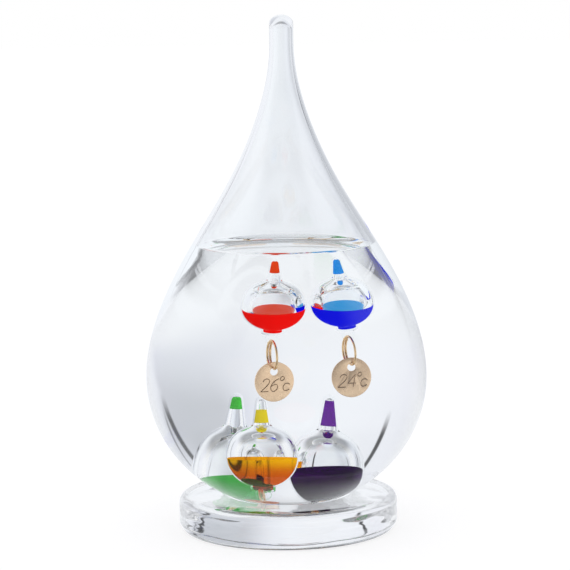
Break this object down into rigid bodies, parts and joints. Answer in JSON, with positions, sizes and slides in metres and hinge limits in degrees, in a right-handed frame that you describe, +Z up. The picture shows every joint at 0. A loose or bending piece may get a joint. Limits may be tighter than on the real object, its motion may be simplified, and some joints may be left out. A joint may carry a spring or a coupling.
{
  "type": "galileo thermometer",
  "caption": "Sealed drop-shaped glass vessel on a round glass base, filled with clear liquid in which coloured weighted glass floats with hanging metal tags rise and sink.",
  "frame": {"origin": "middle of the base's underside, on the table", "axes": "+Z up through the tip, -Y towards the front, +X to the viewer's right"},
  "size_m": [0.12, 0.12, 0.22],
  "materials": {
    "base_glass": "polished clear",
    "vessel_glass": "polished clear",
    "float_glass": "polished clear",
    "clear_glue": "clear film",
    "clear_liquid": "clear liquid",
    "red_dye": "coloured liquid",
    "red_plug": "coloured plug",
    "blue_dye": "coloured liquid",
    "blue_plug": "coloured plug",
    "yellow_dye": "coloured liquid",
    "yellow_plug": "coloured plug",
    "green_dye": "coloured liquid",
    "green_plug": "coloured plug",
    "purple_dye": "coloured liquid",
    "purple_plug": "coloured plug",
    "ring_brass": "bright wire",
    "tag_brass": "satin, engraved"
  },
  "bodies": {
    "root": {"glass_base": "base_glass", "glue_film": "clear_glue", "drop_vessel": "vessel_glass", "clear_liquid": "clear_liquid"},
    "red_float": {"red_bulb": "float_glass", "red_fill": "red_dye", "red_plug": "red_plug"},
    "red_ring": {"red_ring": "ring_brass"},
    "red_tag": {"red_tag": "tag_brass"},
    "blue_float": {"blue_bulb": "float_glass", "blue_fill": "blue_dye", "blue_plug": "blue_plug"},
    "blue_ring": {"blue_ring": "ring_brass"},
    "blue_tag": {"blue_tag": "tag_brass"},
    "yellow_float": {"yellow_bulb": "float_glass", "yellow_fill": "yellow_dye", "yellow_plug": "yellow_plug"},
    "yellow_ring": {"yellow_ring": "ring_brass"},
    "yellow_tag": {"yellow_tag": "tag_brass"},
    "green_float": {"green_bulb": "float_glass", "green_fill": "green_dye", "green_plug": "green_plug"},
    "green_ring": {"green_ring": "ring_brass"},
    "green_tag": {"green_tag": "tag_brass"},
    "purple_float": {"purple_bulb": "float_glass", "purple_fill": "purple_dye", "purple_plug": "purple_plug"},
    "purple_ring": {"purple_ring": "ring_brass"},
    "purple_tag": {"purple_tag": "tag_brass"}
  },
  "joints": [
    {"name": "red_rise", "type": "slide", "parent": "root", "child": "red_float", "axis": [0, 0, 1], "range_m": [-0.038, 0], "stiffness_N_per_m": 0.05, "springref_m": 0.95, "deforming": ["clear_liquid"]},
    {"name": "red_ring_swing", "type": "hinge", "parent": "red_float", "child": "red_ring", "pos_m": [-0.0046, -0.0209, 0.08159], "axis": [0.9703, 0.2419, 0], "range_deg": [-45, 10]},
    {"name": "red_tag_swing", "type": "hinge", "parent": "red_ring", "child": "red_tag", "pos_m": [-0.00414, -0.02079, 0.07221], "axis": [-0.2419, 0.9703, 0], "range_deg": [-60, 60]},
    {"name": "blue_rise", "type": "slide", "parent": "root", "child": "blue_float", "axis": [0, 0, 1], "range_m": [-0.039, 0], "stiffness_N_per_m": 0.05, "springref_m": 1},
    {"name": "blue_ring_swing", "type": "hinge", "parent": "blue_float", "child": "blue_ring", "pos_m": [0.0212, -0.0175, 0.08212], "axis": [0.8746, 0.4848, 0], "range_deg": [-18, 20]},
    {"name": "blue_tag_swing", "type": "hinge", "parent": "blue_ring", "child": "blue_tag", "pos_m": [0.02161, -0.01727, 0.07274], "axis": [-0.4848, 0.8746, 0], "range_deg": [-60, 60]},
    {"name": "yellow_rise", "type": "slide", "parent": "root", "child": "yellow_float", "axis": [0, 0, 1], "range_m": [0, 0.038]},
    {"name": "yellow_ring_swing", "type": "hinge", "parent": "yellow_float", "child": "yellow_ring", "pos_m": [-0.0076, -0.003, 0.02919], "axis": [-0.9848, 0.1736, 0], "range_deg": [-56.75, 0]},
    {"name": "yellow_tag_swing", "type": "hinge", "parent": "yellow_ring", "child": "yellow_tag", "pos_m": [-0.00943, -0.01064, 0.02404], "axis": [-0.0953, -0.5407, 0.8358], "range_deg": [-60, 60]},
    {"name": "green_rise", "type": "slide", "parent": "root", "child": "green_float", "axis": [0, 0, 1], "range_m": [0, 0.0565]},
    {"name": "green_ring_swing", "type": "hinge", "parent": "green_float", "child": "green_ring", "pos_m": [-0.0146, 0.01719, 0.02708], "axis": [-0.7848, -0.6198, 0], "range_deg": [-50.45, 0]},
    {"name": "green_tag_swing", "type": "hinge", "parent": "green_ring", "child": "green_tag", "pos_m": [-0.01049, 0.01123, 0.0211], "axis": [0.3951, -0.5002, 0.7705], "range_deg": [-60, 60]},
    {"name": "purple_rise", "type": "slide", "parent": "root", "child": "purple_float", "axis": [0, 0, 1], "range_m": [0, 0.0585]},
    {"name": "purple_ring_swing", "type": "hinge", "parent": "purple_float", "child": "purple_ring", "pos_m": [0.009, 0.0095, 0.02649], "axis": [-0.9511, -0.309, 0], "range_deg": [-58.55, 0]},
    {"name": "purple_tag_swing", "type": "hinge", "parent": "purple_ring", "child": "purple_tag", "pos_m": [0.01102, 0.00174, 0.02159], "axis": [0.1615, -0.4969, 0.8526], "range_deg": [-60, 60]}
  ],
  "couplings": [
    {"joint": "yellow_ring_swing", "follows": "yellow_rise", "rad_per_m": -26.042},
    {"joint": "green_ring_swing", "follows": "green_rise", "rad_per_m": -15.569},
    {"joint": "purple_ring_swing", "follows": "purple_rise", "rad_per_m": -17.453}
  ]
}
